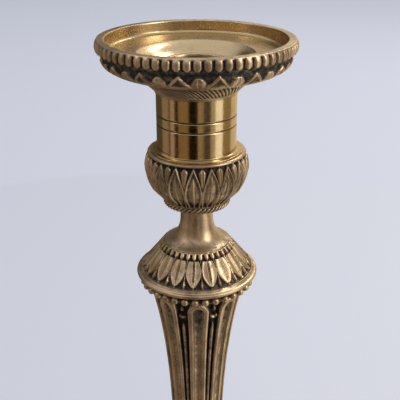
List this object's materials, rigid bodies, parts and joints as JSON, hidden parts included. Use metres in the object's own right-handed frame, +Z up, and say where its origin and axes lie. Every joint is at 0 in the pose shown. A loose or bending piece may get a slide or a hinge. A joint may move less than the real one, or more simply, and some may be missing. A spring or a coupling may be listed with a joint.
{
  "type": "candlestick",
  "caption": "Aged brass candlestick: a round stepped foot, a fluted tapering shaft and a leaf-cast urn carry a turned socket, with a lift-out nozzle and a turning beaded drip pan.",
  "frame": {"origin": "middle of the felt's underside, where the candlestick rests", "axes": "+Z up the candlestick's axis, towards the candle; the shaft has a flute facing -Y and another facing +X"},
  "size_m": [0.12, 0.12, 0.2655],
  "materials": {
    "aged_brass": "cast brass, dark patina in the hollows and worn bright on the edges",
    "polished_brass": "turned and polished, a little tarnished",
    "green_felt": "wool felt",
    "iron": "blackened",
    "steel": "plain, oiled"
  },
  "bodies": {
    "stick": {"felt_pad": "green_felt", "foot_plinth": "aged_brass", "foot_bead_ring": "aged_brass", "foot_dome": "aged_brass", "foot_flare": "aged_brass", "base_knop": "aged_brass", "shaft_ring": "aged_brass", "fluted_shaft": "aged_brass", "bead_ring": "aged_brass", "shoulder_cap": "aged_brass", "neck": "aged_brass", "urn_ring": "aged_brass", "urn_cup": "aged_brass", "candle_socket": "polished_brass", "socket_collar": "aged_brass", "clamp_plate": "iron", "clamp_washer": "steel", "lock_washer": "steel", "tie_rod_nut": "steel", "tie_rod": "steel"},
    "nozzle": {"candle_nozzle": "polished_brass"},
    "pan": {"drip_pan": "aged_brass"}
  },
  "joints": [
    {"name": "nozzle_lift", "type": "slide", "parent": "stick", "child": "nozzle", "axis": [0, 0, 1], "range_m": [0, 0.03]},
    {"name": "pan_turn", "type": "hinge", "parent": "nozzle", "child": "pan", "pos_m": [0, 0, 0.25615], "axis": [0, 0, 1], "continuous": true}
  ]
}
